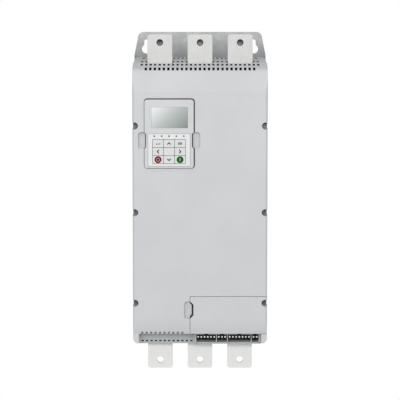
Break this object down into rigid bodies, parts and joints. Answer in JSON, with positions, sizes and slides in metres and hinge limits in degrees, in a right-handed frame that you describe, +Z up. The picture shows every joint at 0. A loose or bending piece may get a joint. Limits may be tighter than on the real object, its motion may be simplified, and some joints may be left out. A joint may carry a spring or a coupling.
{
  "type": "soft starter",
  "caption": "Tall wall-mounted soft starter for electric motors: vented plastic body, bus-bar tabs above and below, plug-in keypad, terminal cover and plug-in terminals.",
  "frame": {"origin": "on the wall plane, in the middle of the back plate's width and level with the middle of the front cover", "axes": "+X to the right seen from the front, +Y towards the wall, +Z up"},
  "size_m": [0.22, 0.2265, 0.5355],
  "materials": {
    "cover_plastic": "fine moulded texture",
    "housing_plastic": "fine moulded texture",
    "plate_steel": "satin paint",
    "tinned_copper": "tin plated, satin",
    "dark_screw_steel": "dark zinc",
    "plated_steel": "zinc plated",
    "heatsink_aluminium": "extruded",
    "module_plastic": "moulded",
    "transformer_resin": "cast resin",
    "fan_plastic": "moulded",
    "board_laminate": "solder resist",
    "terminal_plastic": "moulded",
    "keypad_plastic": "fine moulded texture",
    "keypad_back_plastic": "moulded",
    "lcd_glass": "unlit display",
    "window_plastic": "clear, polished",
    "overlay_film": "printed film",
    "light_pipe": "clear, unlit",
    "key_plastic": "satin",
    "red_plastic": "satin",
    "green_plastic": "satin"
  },
  "bodies": {
    "body": {"back_plate": "plate_steel", "rear_housing": "housing_plastic", "bottom_panel": "housing_plastic", "front_cover": "cover_plastic", "terminal_tray": "housing_plastic", "cover_screws": "dark_screw_steel", "input_bar_1": "tinned_copper", "input_bar_2": "tinned_copper", "input_bar_3": "tinned_copper", "output_bar_1": "tinned_copper", "output_bar_2": "tinned_copper", "output_bar_3": "tinned_copper", "bar_bolts": "plated_steel", "heatsink": "heatsink_aluminium", "thyristor_module_1": "module_plastic", "thyristor_module_2": "module_plastic", "thyristor_module_3": "module_plastic", "bypass_relay_1": "module_plastic", "bypass_relay_2": "module_plastic", "bypass_relay_3": "module_plastic", "current_transformer_1": "transformer_resin", "current_transformer_2": "transformer_resin", "current_transformer_3": "transformer_resin", "fan_frame_left": "fan_plastic", "fan_frame_right": "fan_plastic", "power_board": "board_laminate", "board_standoffs": "plated_steel", "board_capacitors": "fan_plastic", "control_board": "board_laminate", "terminal_headers": "terminal_plastic", "keypad_socket": "terminal_plastic"},
    "keypad": {"keypad_housing": "keypad_plastic", "keypad_back": "keypad_back_plastic", "keypad_board": "board_laminate", "keypad_connector": "terminal_plastic", "lcd_panel": "lcd_glass", "display_window": "window_plastic", "keypad_overlay": "overlay_film", "key_carrier": "key_plastic", "status_lights": "light_pipe"},
    "back_button": {"key_back": "key_plastic"},
    "up_button": {"key_up": "key_plastic"},
    "menu_button": {"key_menu": "key_plastic"},
    "left_button": {"key_left": "key_plastic"},
    "right_button": {"key_right": "key_plastic"},
    "down_button": {"key_down": "key_plastic"},
    "stop_button": {"key_stop": "key_plastic", "stop_face": "red_plastic"},
    "start_button": {"key_start": "key_plastic", "start_face": "green_plastic"},
    "terminal_lid": {"terminal_cover": "cover_plastic"},
    "plug_1": {"terminal_plug_1": "terminal_plastic"},
    "plug_2": {"terminal_plug_2": "terminal_plastic"},
    "plug_3": {"terminal_plug_3": "terminal_plastic"},
    "plug_4": {"terminal_plug_4": "terminal_plastic"},
    "left_rotor": {"fan_rotor_left": "fan_plastic"},
    "right_rotor": {"fan_rotor_right": "fan_plastic"}
  },
  "joints": [
    {"name": "keypad_pull", "type": "slide", "parent": "body", "child": "keypad", "axis": [0, -1, 0], "range_m": [0, 0.03]},
    {"name": "back_press", "type": "slide", "parent": "keypad", "child": "back_button", "axis": [0, 1, 0], "range_m": [0, 0.0008], "stiffness_N_per_m": 800},
    {"name": "up_press", "type": "slide", "parent": "keypad", "child": "up_button", "axis": [0, 1, 0], "range_m": [0, 0.0008], "stiffness_N_per_m": 800},
    {"name": "menu_press", "type": "slide", "parent": "keypad", "child": "menu_button", "axis": [0, 1, 0], "range_m": [0, 0.0008], "stiffness_N_per_m": 800},
    {"name": "left_press", "type": "slide", "parent": "keypad", "child": "left_button", "axis": [0, 1, 0], "range_m": [0, 0.0008], "stiffness_N_per_m": 800},
    {"name": "right_press", "type": "slide", "parent": "keypad", "child": "right_button", "axis": [0, 1, 0], "range_m": [0, 0.0008], "stiffness_N_per_m": 800},
    {"name": "stop_press", "type": "slide", "parent": "keypad", "child": "stop_button", "axis": [0, 1, 0], "range_m": [0, 0.0008], "stiffness_N_per_m": 800},
    {"name": "down_press", "type": "slide", "parent": "keypad", "child": "down_button", "axis": [0, 1, 0], "range_m": [0, 0.0008], "stiffness_N_per_m": 800},
    {"name": "start_press", "type": "slide", "parent": "keypad", "child": "start_button", "axis": [0, 1, 0], "range_m": [0, 0.0008], "stiffness_N_per_m": 800},
    {"name": "terminal_cover_pull", "type": "slide", "parent": "body", "child": "terminal_lid", "axis": [0, -1, 0], "range_m": [0, 0.035]},
    {"name": "plug_1_pull", "type": "slide", "parent": "body", "child": "plug_1", "axis": [0, -1, 0], "range_m": [0, 0.018]},
    {"name": "plug_2_pull", "type": "slide", "parent": "body", "child": "plug_2", "axis": [0, -1, 0], "range_m": [0, 0.018]},
    {"name": "plug_3_pull", "type": "slide", "parent": "body", "child": "plug_3", "axis": [0, -1, 0], "range_m": [0, 0.018]},
    {"name": "plug_4_pull", "type": "slide", "parent": "body", "child": "plug_4", "axis": [0, -1, 0], "range_m": [0, 0.018]},
    {"name": "left_fan_spin", "type": "hinge", "parent": "body", "child": "left_rotor", "pos_m": [-0.047, -0.056, -0.2155], "axis": [0, 0, 1], "continuous": true},
    {"name": "right_fan_spin", "type": "hinge", "parent": "body", "child": "right_rotor", "pos_m": [0.047, -0.056, -0.2155], "axis": [0, 0, 1], "continuous": true}
  ]
}
